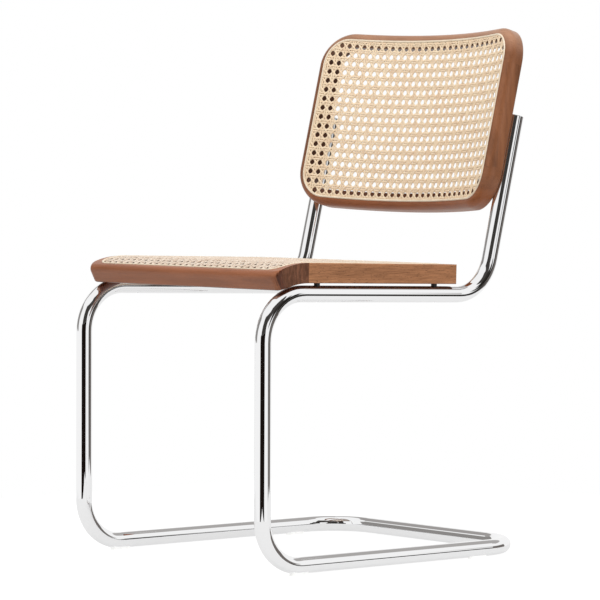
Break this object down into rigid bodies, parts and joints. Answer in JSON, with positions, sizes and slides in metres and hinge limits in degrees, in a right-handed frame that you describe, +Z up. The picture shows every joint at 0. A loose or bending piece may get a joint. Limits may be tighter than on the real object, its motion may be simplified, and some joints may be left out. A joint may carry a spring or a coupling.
{
  "type": "cantilever chair",
  "caption": "Cantilever dining chair: a single bent chromed tube carries a wooden seat frame and a curved wooden back frame, both filled with cane webbing.",
  "frame": {"origin": "on the floor, under the middle of the chair's overall box", "axes": "+Z up, -Y towards the front edge of the seat, +X to the sitter's left"},
  "size_m": [0.463, 0.5757, 0.8204],
  "materials": {
    "chrome_tube": "bright polished chrome",
    "cap_chrome": "bright polished chrome",
    "frame_wood": "satin clear lacquer over stained wood",
    "dowel_wood": "plain turned hardwood",
    "cane": "natural peeled cane with a soft sheen",
    "spline": "natural reed, smooth",
    "insert_brass": "plain turned brass",
    "screw_steel": "zinc-plated, satin",
    "spacer_plastic": "black, matt",
    "glide_plastic": "milky translucent, matt"
  },
  "bodies": {
    "root": {"tube_frame": "chrome_tube", "upright_cap_left": "cap_chrome", "upright_cap_right": "cap_chrome", "floor_glide_front_left": "glide_plastic", "floor_glide_front_right": "glide_plastic", "floor_glide_rear_left": "glide_plastic", "floor_glide_rear_right": "glide_plastic", "seat_front_rail": "frame_wood", "seat_rear_rail": "frame_wood", "seat_side_rail_left": "frame_wood", "seat_side_rail_right": "frame_wood", "seat_dowels": "dowel_wood", "seat_cane": "cane", "seat_spline": "spline", "back_top_rail": "frame_wood", "back_bottom_rail": "frame_wood", "back_stile_left": "frame_wood", "back_stile_right": "frame_wood", "back_dowels": "dowel_wood", "back_cane": "cane", "back_spline": "spline", "seat_spacers": "spacer_plastic", "seat_screws": "screw_steel", "seat_inserts": "insert_brass", "back_screws": "screw_steel", "back_inserts": "insert_brass"}
  },
  "joints": []
}
